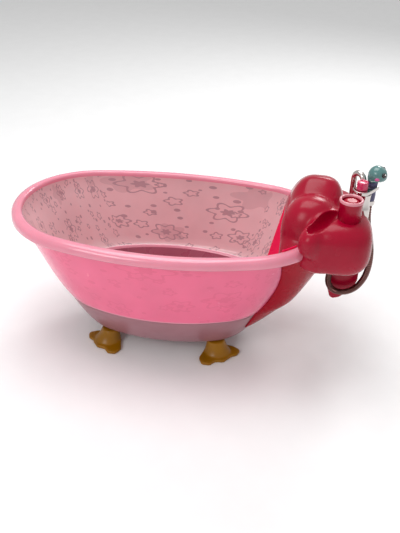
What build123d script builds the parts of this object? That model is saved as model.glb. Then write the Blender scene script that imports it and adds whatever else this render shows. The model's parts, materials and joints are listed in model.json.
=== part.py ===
"""Toy baby bathtub: an oval basin on four webbed feet, with a water console, a tap, a button
and a shower on a hose at one end.  Millimetres, +Z up, the floor at Z = 0, the console at +X."""
import os
from math import cos, pi, radians, tan

from build123d import *

os.makedirs("parts", exist_ok=True)

# ---- driving dimensions -------------------------------------------------------------------
TUB_X = -30.7               # centre of the basin's rim, so that the whole toy is centred on X = 0
END_ROUNDING = 0.888        # radius of an oval's end arcs, as a share of its half-width

RIM_A, RIM_B = 230, 138.5   # half-length and half-width of the rim
RIM_TOP = 201
RIM_SHELF = 16              # width of the rim's flat top
RIM_LIP = 188               # bottom of the rim's turned-down lip
WALL = 2.4                  # wall of the moulded basin
WALL_A, WALL_B = 216.4, 124.9
RIDGE_A, RIDGE_B = 159, 108
RIDGE_Z = 81                # ledge where the basin sits on its cradle
CRADLE_A, CRADLE_B = 122, 76
CRADLE_Z = 24               # underside of the cradle
TUB_BOTTOM = 34             # underside of the basin's floor
CRADLE_GAP = 4              # basin's lower bowl is this much inside the cradle

FOOT_X, FOOT_Y = 80, 56     # ankle of a foot, from the basin's centre
SOLE = 5                    # thickness of a foot's web
SCREW_R = 1.45
DRAIN_X = -60
DRAIN_R = 9

SHELL = 2.6                 # wall of the console's mouldings
CONSOLE_Z = 176             # bottom of the console
CONSOLE_TOP = 247
NEAR_Y, FAR_Y = -104, 104
CONSOLE_END = 284
PANEL_GAP = 1.0

BUTTON_X, BUTTON_Y = 247, -68
COLLAR_R, COLLAR_TOP = 18, 277
BUTTON_TRAVEL = 4
COLUMN_X, COLUMN_Y = 265, -36
CAP_X, CAP_Y = 260.5, -35
SPOUT_X, SPOUT_Y = 262, -21
HEAD_X, HEAD_Y = 274, -18
PLATE_Z = 271               # underside of the tap's top plate
PUMP_X, PUMP_Y = 245.5, 12
BOX_X = 236                 # inner face of the battery box
HOSE_R = 4.5


def place(x, y, z):
    """The plane at a point given from the basin's centre."""
    return Plane((TUB_X + x, y, z))


def oval(half_length, half_width):
    """A closed oval face about the origin: two full end arcs joined by two flat side arcs."""
    end_r = END_ROUNDING * half_width
    reach = half_length - end_r
    side_r = (reach ** 2 + half_width ** 2 - end_r ** 2) / (2 * (half_width - end_r))
    toward = Vector(reach, side_r - half_width).normalized()
    x, y = reach + end_r * toward.X, end_r * toward.Y
    with BuildSketch() as face:
        with BuildLine():
            ThreePointArc((x, -y), (half_length, 0), (x, y))
            ThreePointArc((x, y), (0, half_width), (-x, y))
            ThreePointArc((-x, y), (-half_length, 0), (-x, -y))
            ThreePointArc((-x, -y), (0, -half_width), (x, -y))
        make_face()
    return face.sketch


def wall_size(z):
    """Half-length and half-width of the basin's outer wall between the ledge and the rim."""
    rise = max(z - RIDGE_Z, 0) / (RIM_LIP - RIDGE_Z)
    return (RIDGE_A + (WALL_A - RIDGE_A) * rise ** 0.8, RIDGE_B + (WALL_B - RIDGE_B) * rise ** 0.9)


def cradle_size(z):
    """Half-length and half-width of the cradle's outer face between its floor and the ledge."""
    rise = (z - CRADLE_Z) / (RIDGE_Z - CRADLE_Z)
    return (CRADLE_A + (RIDGE_A - CRADLE_A) * rise ** 0.75,
            CRADLE_B + (RIDGE_B - CRADLE_B) * rise ** 0.8)


def body_size(z):
    """The outer face of basin and cradle together."""
    return wall_size(z) if z >= RIDGE_Z else cradle_size(z)


def stack(heights, size, grow=0):
    """A solid lofted through the ovals of size(z), each made larger by grow."""
    with BuildPart() as solid:
        for z in heights:
            half_length, half_width = size(z)
            with BuildSketch(place(0, 0, z)):
                add(oval(half_length + grow, half_width + grow))
        loft(ruled=True)
    return solid.part


def prism(half_length, half_width, bottom, top):
    """A straight oval solid."""
    with BuildPart() as solid:
        with BuildSketch(place(0, 0, bottom)):
            add(oval(half_length, half_width))
        extrude(amount=top - bottom)
    return solid.part


def rod(x, y, bottom, top, radius):
    """A plain upright cylinder."""
    with BuildPart() as solid:
        with BuildSketch(place(x, y, bottom)):
            Circle(radius)
        extrude(amount=top - bottom)
    return solid.part


def pipe(points, radii, radius):
    """A round bar along straight runs joined by arcs; points from the basin's centre."""
    route = [(TUB_X + x, y, z) for x, y, z in points]
    with BuildPart() as solid:
        with BuildLine() as path:
            FilletPolyline(*route, radius=radii)
        with BuildSketch(Plane(path.line @ 0, z_dir=path.line % 0)):
            Circle(radius)
        sweep()
    return solid.part


def save(builder, name):
    """Names the piece and writes its file."""
    builder.part.label = name
    export_step(builder.part, f"parts/{name}.step")


# ---- basin ----------------------------------------------------------------------------------
UPPER = [RIDGE_Z, 95, 115, 140, 165, RIM_LIP]
LOWER = [TUB_BOTTOM, 45, 60, RIDGE_Z]
FLOOR_TOP = TUB_BOTTOM + WALL + 0.6
LEDGE_TOP = RIDGE_Z + WALL

with BuildPart() as tub_shell:
    add(stack(LOWER, cradle_size, -CRADLE_GAP))
    add(stack(UPPER, wall_size))
    add(prism(RIM_A, RIM_B, RIM_LIP, RIM_TOP))
    rim_edges = tub_shell.edges().group_by(Axis.Z)[-1]
    fillet(rim_edges, 4.5)
    with BuildSketch(place(0, 0, RIM_LIP)):
        add(oval(RIM_A - WALL, RIM_B - WALL))
        add(oval(WALL_A, WALL_B), mode=Mode.SUBTRACT)
    extrude(amount=RIM_TOP - RIM_LIP - WALL, mode=Mode.SUBTRACT)
    add(stack([FLOOR_TOP, 48, 62, RIDGE_Z], cradle_size, -CRADLE_GAP - WALL), mode=Mode.SUBTRACT)
    ledge_a, ledge_b = cradle_size(RIDGE_Z)
    inset = CRADLE_GAP + WALL
    add(prism(ledge_a - inset, ledge_b - inset, RIDGE_Z, LEDGE_TOP), mode=Mode.SUBTRACT)
    add(stack([LEDGE_TOP, 95, 115, 140, 165, RIM_LIP], wall_size, -WALL), mode=Mode.SUBTRACT)
    add(prism(WALL_A - WALL, WALL_B - WALL, RIM_LIP, RIM_TOP), mode=Mode.SUBTRACT)
    add(rod(DRAIN_X, 0, TUB_BOTTOM - 5, FLOOR_TOP - 1, DRAIN_R + 3))
    add(rod(DRAIN_X, 0, TUB_BOTTOM - 5, FLOOR_TOP, DRAIN_R), mode=Mode.SUBTRACT)
    with BuildSketch(Plane((TUB_X + 150, 20, 104), z_dir=(1, 0, 0))):
        Circle(4.3)
    extrude(amount=40, mode=Mode.SUBTRACT)
save(tub_shell, "tub_shell")

with BuildPart() as drain_plug:
    add(rod(DRAIN_X, 0, TUB_BOTTOM - 4, FLOOR_TOP, DRAIN_R - 0.6))
    add(rod(DRAIN_X, 0, FLOOR_TOP, FLOOR_TOP + 3, DRAIN_R + 4))
    fillet(drain_plug.edges().group_by(Axis.Z)[-1], 1.2)
    with BuildSketch(Plane((TUB_X + DRAIN_X, 0, FLOOR_TOP + 7.2), z_dir=(1, 0, 0))):
        Circle(5.5)
        Circle(3.4, mode=Mode.SUBTRACT)
    extrude(amount=1.3, both=True)
    with BuildSketch(place(DRAIN_X, 0, TUB_BOTTOM - 2)):
        Circle(DRAIN_R)
        Circle(DRAIN_R - 1.8, mode=Mode.SUBTRACT)
    extrude(amount=2, mode=Mode.SUBTRACT)
save(drain_plug, "drain_plug")

with BuildPart() as drain_seal:
    with BuildSketch(place(DRAIN_X, 0, TUB_BOTTOM - 2)):
        Circle(DRAIN_R - 0.05)
        Circle(DRAIN_R - 1.8, mode=Mode.SUBTRACT)
    extrude(amount=2)
save(drain_seal, "drain_seal")

# ---- cradle and feet ------------------------------------------------------------------------
ANKLES = {
    "foot_front_left": (-FOOT_X, -FOOT_Y),
    "foot_front_right": (FOOT_X, -FOOT_Y),
    "foot_rear_left": (-FOOT_X, FOOT_Y),
    "foot_rear_right": (FOOT_X, FOOT_Y),
}

with BuildPart() as base_cradle:
    add(stack([CRADLE_Z, 34, 48, 64, RIDGE_Z], cradle_size))
    fillet(base_cradle.edges().group_by(Axis.Z)[0], 2.2)
    add(stack([CRADLE_Z + WALL, 34, 48, 64, RIDGE_Z], cradle_size, -WALL), mode=Mode.SUBTRACT)
    for ankle_x, ankle_y in ANKLES.values():
        add(rod(ankle_x, ankle_y, CRADLE_Z, TUB_BOTTOM, 5.5))
        add(rod(ankle_x, ankle_y, CRADLE_Z, TUB_BOTTOM, SCREW_R), mode=Mode.SUBTRACT)
    add(rod(DRAIN_X, 0, CRADLE_Z, TUB_BOTTOM, DRAIN_R + 4), mode=Mode.SUBTRACT)
save(base_cradle, "base_cradle")

# outline of a webbed foot round its ankle, pointing at -X and -Y; each tip is a rounded toe
WEB = [(16, -4), (21, -24), (15, -36), (3, -36), (-4, -27), (-17, -25), (-24, -12),
       (-34, -6), (-38, 5), (-26, 12), (-10, 15)]
WEB_ROUNDING = [7, 8, 6.5, 6.5, 2.5, 6, 3, 5, 6, 7, 7]
ANKLE_R = 13
SCREW_HEAD_Z = 10

for name, (ankle_x, ankle_y) in ANKLES.items():
    side_x = 1 if ankle_x < 0 else -1
    side_y = 1 if ankle_y < 0 else -1
    outline = [(side_x * x, side_y * y) for x, y in WEB]
    with BuildPart() as foot:
        with BuildSketch(place(ankle_x, ankle_y, 0)):
            with BuildLine():
                FilletPolyline(*outline, radius=WEB_ROUNDING, close=True)
            make_face()
        extrude(amount=SOLE)
        with BuildSketch(place(ankle_x - side_x * 5, ankle_y - side_y * 7, 2)):
            Ellipse(22, 19)
        with BuildSketch(place(ankle_x - side_x * 2, ankle_y - side_y * 2, 14)):
            Ellipse(15.5, 14.5)
        with BuildSketch(place(ankle_x, ankle_y, CRADLE_Z)):
            Ellipse(ANKLE_R, ANKLE_R)
        loft()
        add(rod(ankle_x, ankle_y, 0, CRADLE_Z, SCREW_R + 0.25), mode=Mode.SUBTRACT)
        add(rod(ankle_x, ankle_y, 0, SCREW_HEAD_Z, 3.8), mode=Mode.SUBTRACT)
    save(foot, name)

with BuildPart() as foot_screws:
    for ankle_x, ankle_y in ANKLES.values():
        add(rod(ankle_x, ankle_y, SCREW_HEAD_Z - 2.2, SCREW_HEAD_Z, 3.1))
        add(rod(ankle_x, ankle_y, SCREW_HEAD_Z, TUB_BOTTOM - 1, SCREW_R))
save(foot_screws, "foot_screws")

# ---- console cover ----------------------------------------------------------------------------
INNER_A, INNER_B = 206, 115      # the cover's face toward the bather
HOOD_A, HOOD_B = 226, 135        # the back of the raised hood
RIM_CLEAR = 1.0                  # gap between the rim and the cover
COVER_FOOT = RIM_TOP + 3.6       # the cover stands this high where it crosses the rim
NEAR_X, FAR_X = 196, 165         # where the cover begins on the near and on the far rim
RECESS_X = 262                   # end face between the lobes, where the hose hangs


def plan(inset):
    """The console seen from above, without its inner edge."""
    corners = [(FAR_X + inset - 15, 0), (NEAR_X + inset, -20), (NEAR_X + inset, NEAR_Y + inset),
               (CONSOLE_END - inset, NEAR_Y + inset), (CONSOLE_END - inset, -40 + inset / 3),
               (RECESS_X - inset, -18 + inset / 3), (RECESS_X - inset, FAR_Y - inset),
               (FAR_X + inset, FAR_Y - inset), (FAR_X + inset, 20)]
    rounding = [3, 3, 16 - inset, 42 - inset, 14 - inset, 10 + inset, 30 - inset, 8 - inset, 3]
    with BuildSketch() as face:
        with BuildLine():
            FilletPolyline(*corners, radius=rounding, close=True)
        make_face()
        add(oval(INNER_A + inset, INNER_B + inset), mode=Mode.SUBTRACT)
    return face.sketch


def lengthwise_top(inset):
    """The console's outline seen along X."""
    low, near, far = CONSOLE_Z, NEAR_Y + inset, FAR_Y - inset
    with BuildSketch() as face:
        with BuildLine():
            Spline((near, low + 18), (near + 9, 231 - inset), (-62, 245 - inset),
                   (0, CONSOLE_TOP - inset), (45, 241 - inset), (84, 226 - inset), (far, 204 - inset))
            Polyline((far, 204 - inset), (far, low), (near, low), (near, low + 18))
        make_face()
    return face.sketch


def sideways_top(inset):
    """The console's outline seen along Y."""
    end = CONSOLE_END - inset
    with BuildSketch() as face:
        with BuildLine():
            Spline((130, CONSOLE_TOP - inset), (235, CONSOLE_TOP - inset), (265, 241 - inset),
                   (end - 3, 226 - inset), (end, 205))
            Polyline((end, 205), (end, CONSOLE_Z), (130, CONSOLE_Z), (130, CONSOLE_TOP - inset))
        make_face()
    return face.sketch


def hood_top(inset):
    """The raised hood's outline seen along X."""
    with BuildSketch() as face:
        with BuildLine():
            Spline((-58 + inset, 238), (-34, 256 - inset), (-6, 269 - inset), (18, 271 - inset),
                   (45, 256 - inset), (75, 235 - inset), (108 - inset, 207))
            Polyline((108 - inset, 207), (108 - inset, COVER_FOOT), (-58 + inset, COVER_FOOT),
                     (-58 + inset, 238))
        make_face()
    return face.sketch


ALONG_X = Plane((TUB_X + 130, 0, 0), x_dir=(0, 1, 0), z_dir=(1, 0, 0))
ALONG_Y = Plane((TUB_X, 120, 0), x_dir=(1, 0, 0), z_dir=(0, -1, 0))


def console_form(inset):
    """The console's mass: its plan, cut to both of its side outlines."""
    with BuildPart() as solid:
        with BuildSketch(place(0, 0, CONSOLE_Z)):
            add(plan(inset))
        extrude(amount=80)
        with BuildSketch(ALONG_X):
            add(lengthwise_top(inset))
        extrude(amount=170, mode=Mode.INTERSECT)
        with BuildSketch(ALONG_Y):
            add(sideways_top(inset))
        extrude(amount=240, mode=Mode.INTERSECT)
    return solid.part


HOOD_RISE = 80
BASIN_HALF = 66
BEYOND_ALL = 400


def hood_form(inset):
    """The raised hood: an oval band, cut to its side outline."""
    with BuildPart() as solid:
        with BuildSketch(place(0, 0, COVER_FOOT)):
            add(oval(HOOD_A - inset, HOOD_B - inset))
            add(oval(INNER_A + inset, INNER_B + inset), mode=Mode.SUBTRACT)
            Rectangle(2 * (FAR_X + inset), BEYOND_ALL, mode=Mode.SUBTRACT)
        extrude(amount=HOOD_RISE)
        with BuildSketch(ALONG_X):
            add(hood_top(inset))
        extrude(amount=FAR_Y + BASIN_HALF, mode=Mode.INTERSECT)
    return solid.part


DISH_X, DISH_Y = 212, -77
DISH_TURN = 51
DISH_FLOOR = 226
COVER_SCREWS = [(214, -92), (258, -93), (250, 38), (222, 88)]

with BuildPart() as console_cover:
    add(console_form(0))
    add(hood_form(0))
    add(console_form(SHELL), mode=Mode.SUBTRACT)
    add(hood_form(SHELL), mode=Mode.SUBTRACT)
    add(prism(RIM_A + RIM_CLEAR, RIM_B + RIM_CLEAR, CONSOLE_Z - 1, COVER_FOOT), mode=Mode.SUBTRACT)
    with BuildPart(mode=Mode.PRIVATE) as dish:
        with BuildSketch(place(DISH_X, DISH_Y, DISH_FLOOR - SHELL)):
            with Locations(Rotation(0, 0, DISH_TURN)):
                Ellipse(28, 11)
        extrude(amount=40)
        add(console_form(0.5), mode=Mode.INTERSECT)
    add(dish.part)
    with BuildSketch(place(DISH_X, DISH_Y, DISH_FLOOR)):
        with Locations(Rotation(0, 0, DISH_TURN)):
            Ellipse(25.4, 8.4)
    extrude(amount=40, mode=Mode.SUBTRACT)
    add(rod(BUTTON_X, BUTTON_Y, 225, 260, COLLAR_R + 0.2), mode=Mode.SUBTRACT)
    add(rod(COLUMN_X, COLUMN_Y, 225, 260, 9.2), mode=Mode.SUBTRACT)
    with BuildPart(mode=Mode.PRIVATE) as screw_posts:
        for screw_x, screw_y in COVER_SCREWS:
            add(rod(screw_x, screw_y, CONSOLE_Z + 6, CONSOLE_TOP, 3.6))
        add(console_form(0.5), mode=Mode.INTERSECT)
        for screw_x, screw_y in COVER_SCREWS:
            add(rod(screw_x, screw_y, CONSOLE_Z, 198, SCREW_R), mode=Mode.SUBTRACT)
    add(screw_posts.part)
save(console_cover, "console_cover")

# ---- console base, with the posts and the speaker's grille --------------------------------------
BASE_TOP = CONSOLE_Z + SHELL
BOARD_Z = 212
BOARD_X, BOARD_Y = 244, -64
BOARD_LENGTH, BOARD_WIDTH = 42, 38
SPEAKER_X, SPEAKER_Y = 240, 62
OUTLET_X, OUTLET_Y = 240, -20
TUBE_R = 3

with BuildPart() as console_base:
    with BuildSketch(place(0, 0, CONSOLE_Z)):
        add(plan(SHELL + 0.2))
        add(oval(212.4, 124.4), mode=Mode.SUBTRACT)
    extrude(amount=SHELL)
    for screw_x, screw_y in COVER_SCREWS:
        add(rod(screw_x, screw_y, CONSOLE_Z, CONSOLE_Z + 6, 3.6))
        add(rod(screw_x, screw_y, CONSOLE_Z, CONSOLE_Z + 6, SCREW_R + 0.2), mode=Mode.SUBTRACT)
    for corner_x in (-1, 1):
        for corner_y in (-1, 1):
            add(rod(BOARD_X + corner_x * 17, BOARD_Y + corner_y * 15, BASE_TOP, BOARD_Z, 2.6))
    with BuildSketch(place(SPEAKER_X, SPEAKER_Y, CONSOLE_Z)):
        with PolarLocations(9, 8):
            Circle(1.6)
        Circle(1.6)
    extrude(amount=SHELL, mode=Mode.SUBTRACT)
    add(rod(OUTLET_X, OUTLET_Y, CONSOLE_Z, BASE_TOP, 4.7), mode=Mode.SUBTRACT)
    with BuildSketch(place(217, 20, CONSOLE_Z)):
        Rectangle(13, 9)
    extrude(amount=SHELL, mode=Mode.SUBTRACT)
save(console_base, "console_base")

with BuildPart() as console_screws:
    for screw_x, screw_y in COVER_SCREWS:
        add(rod(screw_x, screw_y, CONSOLE_Z - 2, CONSOLE_Z, 3))
        add(rod(screw_x, screw_y, CONSOLE_Z, 192, SCREW_R))
save(console_screws, "console_screws")


# ---- panels inside and outside the basin's end ------------------------------------------------
def slanted_cut(foot_x, foot_z, top_x, top_z):
    """Everything beyond a leaning line, seen along Y."""
    lean = (top_x - foot_x) / (top_z - foot_z)
    low_x = foot_x - lean * foot_z
    high_x = top_x + lean * (260 - top_z)
    with BuildPart() as solid:
        with BuildSketch(Plane((TUB_X, 160, 0), x_dir=(1, 0, 0), z_dir=(0, -1, 0))):
            with BuildLine():
                Polyline((low_x, 0), (high_x, 260), (330, 260), (330, 0), close=True)
            make_face()
        extrude(amount=320)
    return solid.part


def end_size(z):
    """The end panel's outer face: a duct's width outside the basin at the end, close at the sides."""
    half_length, half_width = body_size(z)
    return (half_length + 6 + 9 * min((z - 46) / 74, 1), half_width + 3)


PANEL_HEIGHTS = [88, 110, 140, 165, RIM_LIP]
END_HEIGHTS = [46, 62, 81, 110, 140, CONSOLE_Z]

with BuildPart() as inner_panel:
    add(stack(PANEL_HEIGHTS, wall_size, -WALL - PANEL_GAP))
    top_a, top_b = WALL_A - WALL - PANEL_GAP, WALL_B - WALL - PANEL_GAP
    add(prism(top_a, top_b, RIM_LIP, COVER_FOOT))
    add(stack(PANEL_HEIGHTS, wall_size, -WALL - PANEL_GAP - SHELL), mode=Mode.SUBTRACT)
    add(prism(top_a - SHELL, top_b - SHELL, RIM_LIP, COVER_FOOT), mode=Mode.SUBTRACT)
    add(slanted_cut(141, 100, 165, 197), mode=Mode.INTERSECT)
    with BuildSketch(Plane((TUB_X + 150, 20, 104), z_dir=(1, 0, 0))):
        Circle(4.3)
    extrude(amount=40, mode=Mode.SUBTRACT)
save(inner_panel, "inner_panel")

with BuildPart() as end_panel:
    add(stack(END_HEIGHTS, end_size))
    add(stack(END_HEIGHTS, end_size, -WALL), mode=Mode.SUBTRACT)
    add(slanted_cut(118, 64, 169, 173), mode=Mode.INTERSECT)
save(end_panel, "end_panel")

# ---- water system -------------------------------------------------------------------------------
STRAINER_Y, STRAINER_Z = 20, 104
ACROSS_X = Plane((TUB_X, STRAINER_Y, STRAINER_Z), x_dir=(0, 1, 0), z_dir=(1, 0, 0))

with BuildPart() as suction_strainer:
    with BuildSketch(ACROSS_X.offset(153)):
        Circle(12)
        with PolarLocations(6.5, 6):
            Circle(1.5, mode=Mode.SUBTRACT)
    extrude(amount=2.5)
    with BuildSketch(ACROSS_X.offset(153)):
        Circle(3.6)
    extrude(amount=21.5)
save(suction_strainer, "suction_strainer")

with BuildPart() as suction_tube:
    add(pipe([(174.5, 20, 104), (179.2, 20, 104), (217, 20, 184), (234.3, 20, 184)], [3.8, 12], TUBE_R))
save(suction_tube, "suction_tube")

PUMP_R = 12.5
PUMP_TOP = 198
with BuildPart() as pump_body:
    add(rod(PUMP_X, PUMP_Y, BASE_TOP, PUMP_TOP, PUMP_R))
    add(rod(PUMP_X, PUMP_Y, BASE_TOP + 4, PUMP_TOP - 3, PUMP_R - 2.5), mode=Mode.SUBTRACT)
    add(rod(PUMP_X, PUMP_Y, BASE_TOP + 4, PUMP_TOP, 1.5), mode=Mode.SUBTRACT)
save(pump_body, "pump_body")

with BuildPart() as pump_impeller:
    add(rod(PUMP_X, PUMP_Y, 185, 193, 3))
    with BuildSketch(place(PUMP_X, PUMP_Y, 186)):
        with PolarLocations(5, 6):
            Rectangle(8, 1.4)
    extrude(amount=6)
    add(rod(PUMP_X, PUMP_Y, 193, PUMP_TOP + 2, 1))
save(pump_impeller, "pump_impeller")

with BuildPart() as pump_motor:
    add(rod(PUMP_X, PUMP_Y, PUMP_TOP, 226, 10.5))
    fillet(pump_motor.edges().group_by(Axis.Z)[-1], 1.5)
    add(rod(PUMP_X, PUMP_Y, 226, 229, 4))
    add(rod(PUMP_X, PUMP_Y, PUMP_TOP, PUMP_TOP + 3, 1.5), mode=Mode.SUBTRACT)
save(pump_motor, "pump_motor")

with BuildPart() as delivery_tube:
    add(pipe([(250, -0.5, 192), (250, -36, 192), (COLUMN_X, COLUMN_Y, 206), (COLUMN_X, COLUMN_Y, 232)],
             [8, 8], TUBE_R))
save(delivery_tube, "delivery_tube")

with BuildPart() as hose_outlet:
    add(pipe([(OUTLET_X, -0.5, 185), (OUTLET_X, OUTLET_Y, 185), (OUTLET_X, OUTLET_Y, 164)], 6, 4.2))
    add(rod(OUTLET_X, OUTLET_Y, CONSOLE_Z - 3, CONSOLE_Z, 8))
save(hose_outlet, "hose_outlet")

# ---- electrics ------------------------------------------------------------------------------------
with BuildPart() as circuit_board:
    with BuildSketch(place(BOARD_X, BOARD_Y, BOARD_Z)):
        RectangleRounded(BOARD_LENGTH, BOARD_WIDTH, 2)
    extrude(amount=1.6)
    with BuildSketch(place(BOARD_X - 12, BOARD_Y + 8, BOARD_Z + 1.6)):
        Rectangle(9, 9)
    extrude(amount=2)
save(circuit_board, "circuit_board")

with BuildPart() as button_switch:
    with BuildSketch(place(BUTTON_X, BUTTON_Y, BOARD_Z + 1.6)):
        Rectangle(12, 12)
    extrude(amount=6.4)
    add(rod(BUTTON_X, BUTTON_Y, BOARD_Z + 8, BOARD_Z + 11, 2))
save(button_switch, "button_switch")

with BuildPart() as speaker:
    add(rod(SPEAKER_X, SPEAKER_Y, BASE_TOP, BASE_TOP + 5, 14))
    add(rod(SPEAKER_X, SPEAKER_Y, BASE_TOP + 5, BASE_TOP + 13, 9))
save(speaker, "speaker")

# ---- button ----------------------------------------------------------------------------------------
COLLAR_FOOT = 230
BUTTON_R = 11.4

with BuildPart() as button_collar:
    add(rod(BUTTON_X, BUTTON_Y, COLLAR_FOOT, COLLAR_TOP, COLLAR_R))
    fillet(button_collar.edges().group_by(Axis.Z)[-1], 2.5)
    add(rod(BUTTON_X, BUTTON_Y, COLLAR_FOOT + 3, COLLAR_TOP, BUTTON_R + 0.5), mode=Mode.SUBTRACT)
    add(rod(BUTTON_X, BUTTON_Y, COLLAR_FOOT, COLLAR_FOOT + 3, 4.4), mode=Mode.SUBTRACT)
save(button_collar, "button_collar")

with BuildPart() as push_button:
    add(rod(BUTTON_X, BUTTON_Y, 255, 275, BUTTON_R))
    fillet(push_button.edges().group_by(Axis.Z)[-1], 6)
    add(rod(BUTTON_X, BUTTON_Y, 255, 262, BUTTON_R - 1.8), mode=Mode.SUBTRACT)
    add(rod(BUTTON_X, BUTTON_Y, COLLAR_FOOT - 2, 262, 4))
save(push_button, "push_button")

SPRING_R, SPRING_TURNS, SPRING_HEIGHT = 7, 6, 22
with BuildPart() as button_spring:
    with BuildLine(place(BUTTON_X, BUTTON_Y, COLLAR_FOOT + 3.7)) as coil:
        Helix(pitch=SPRING_HEIGHT / SPRING_TURNS, height=SPRING_HEIGHT, radius=SPRING_R)
    with BuildSketch(Plane(coil.line @ 0, z_dir=coil.line % 0)):
        Circle(0.6)
    sweep()
save(button_spring, "button_spring")

# ---- tap ---------------------------------------------------------------------------------------------
with BuildPart() as tap_column:
    with BuildSketch(Plane((TUB_X + COLUMN_X, COLUMN_Y, 0), x_dir=(1, 0, 0), z_dir=(0, -1, 0))):
        with BuildLine():
            Polyline((0, 232), (6, 232), (6, 236), (9, 236), (9, 250))
            ThreePointArc((9, 250), (7.6, 260), (8.6, PLATE_Z))
            Polyline((8.6, PLATE_Z), (0, PLATE_Z), (0, 232))
        make_face()
    revolve(axis=Axis((TUB_X + COLUMN_X, COLUMN_Y, 0), (0, 0, 1)))
save(tap_column, "tap_column")

PLATE_TOP = PLATE_Z + 5
HANDLE_R = 6.5
with BuildPart() as tap_plate:
    with BuildSketch(place(0, 0, PLATE_Z)):
        with Locations((CAP_X, CAP_Y)):
            Circle(11.5)
        with Locations((HEAD_X, HEAD_Y)):
            Circle(9.8)
        with Locations((SPOUT_X, SPOUT_Y)):
            Circle(6.5)
        make_hull()
        with Locations((HEAD_X, HEAD_Y)):
            Circle(HANDLE_R + 0.4, mode=Mode.SUBTRACT)
    extrude(amount=PLATE_TOP - PLATE_Z)
    add(rod(SPOUT_X, SPOUT_Y, PLATE_Z + 2, PLATE_TOP, 3.1), mode=Mode.SUBTRACT)
    add(rod(CAP_X, CAP_Y, PLATE_Z + 2, PLATE_TOP, 3.1), mode=Mode.SUBTRACT)
save(tap_plate, "tap_plate")

with BuildPart() as tap_cap:
    add(rod(CAP_X, CAP_Y, PLATE_TOP + 0.3, 287, 7.2))
    fillet(tap_cap.edges().group_by(Axis.Z)[-1], 1)
    add(rod(CAP_X, CAP_Y, 285.4, 287, 4.6), mode=Mode.SUBTRACT)
    add(rod(CAP_X, CAP_Y, PLATE_Z + 2.3, PLATE_TOP + 0.3, 3))
save(tap_cap, "tap_cap")

SPOUT_REACH = 16 * cos(radians(45))
SPOUT_BEND_Z = 281
with BuildPart() as spout:
    end_x, end_y = SPOUT_X - SPOUT_REACH, SPOUT_Y + SPOUT_REACH
    mid_x, mid_y = (SPOUT_X + end_x) / 2, (SPOUT_Y + end_y) / 2
    with BuildLine() as arch:
        Line((TUB_X + SPOUT_X, SPOUT_Y, PLATE_TOP + 0.3), (TUB_X + SPOUT_X, SPOUT_Y, SPOUT_BEND_Z))
        ThreePointArc((TUB_X + SPOUT_X, SPOUT_Y, SPOUT_BEND_Z), (TUB_X + mid_x, mid_y, SPOUT_BEND_Z + 8),
                      (TUB_X + end_x, end_y, SPOUT_BEND_Z))
        Line((TUB_X + end_x, end_y, SPOUT_BEND_Z), (TUB_X + end_x, end_y, 256))
    with BuildSketch(Plane(arch.line @ 0, z_dir=arch.line % 0)):
        Circle(4)
    sweep()
    add(rod(SPOUT_X, SPOUT_Y, PLATE_Z + 2.3, PLATE_TOP + 0.3, 3))
    add(rod(end_x, end_y, 255.9, 262, 2.6), mode=Mode.SUBTRACT)
save(spout, "spout")

# ---- shower -------------------------------------------------------------------------------------------
NUT_Z = 248
with BuildPart() as shower_handle:
    add(rod(HEAD_X, HEAD_Y, NUT_Z + 6, 281, HANDLE_R))
    add(rod(HEAD_X, HEAD_Y, PLATE_TOP + 0.3, PLATE_TOP + 2.3, HANDLE_R + 1.1))
save(shower_handle, "shower_handle")

with BuildPart() as shower_head:
    with BuildSketch(Plane((TUB_X + HEAD_X, HEAD_Y, 281), x_dir=(0, 1, 0), z_dir=(0, 0, 1))):
        Ellipse(6.5, 6.5)
    with BuildSketch(Plane((TUB_X + 276, -18.5, 285), x_dir=(0, 1, 0), z_dir=(0.25, 0, 0.97))):
        Ellipse(10, 10)
    with BuildSketch(Plane((TUB_X + 279.5, -19, 291.5), x_dir=(0, 1, 0), z_dir=(0.45, 0, 0.9))):
        Ellipse(11.5, 12.5)
    with BuildSketch(Plane((TUB_X + 282.5, -19, 297), x_dir=(0, 1, 0), z_dir=(0.5, 0, 0.87))):
        Ellipse(9.5, 10)
    with BuildSketch(Plane((TUB_X + 284.5, -19, 300.5), x_dir=(0, 1, 0), z_dir=(0.5, 0, 0.87))):
        Ellipse(4, 4)
    loft()
save(shower_head, "shower_head")

LOWER_NUT_Z = 158
nut_places = (("hose_nut_upper", HEAD_X, HEAD_Y, NUT_Z), ("hose_nut_lower", OUTLET_X, OUTLET_Y, LOWER_NUT_Z))
for name, x, y, bottom in nut_places:
    with BuildPart() as hose_nut:
        with BuildSketch(place(x, y, bottom)):
            RegularPolygon(6.8, 8)
        extrude(amount=6)
    save(hose_nut, name)

# route of the hose, from the shower's nut down the end of the toy and back up to its outlet
HOSE_ROUTE = [(274, -18, 248), (274, -18, 225), (283, -19, 196), (288, -20, 163), (284, -20, 131),
              (269, -20, 109), (248, -20, 104), (234, -20, 116), (234, -20, 138), (240, -20, 158)]
hose_points = [Vector(TUB_X + x, y, z) for x, y, z in HOSE_ROUTE]
hose_radii = []
for before, corner, after in zip(hose_points, hose_points[1:], hose_points[2:]):
    turn = radians((corner - before).get_angle(after - corner))
    shorter = min((corner - before).length, (after - corner).length)
    hose_radii.append(0.45 * shorter / tan(turn / 2))
print("hose bends", [round(radius) for radius in hose_radii])

with BuildPart() as shower_hose:
    add(pipe(HOSE_ROUTE, hose_radii, HOSE_R))
print("hose length", round(shower_hose.part.volume / (pi * HOSE_R ** 2)))
save(shower_hose, "shower_hose")

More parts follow.
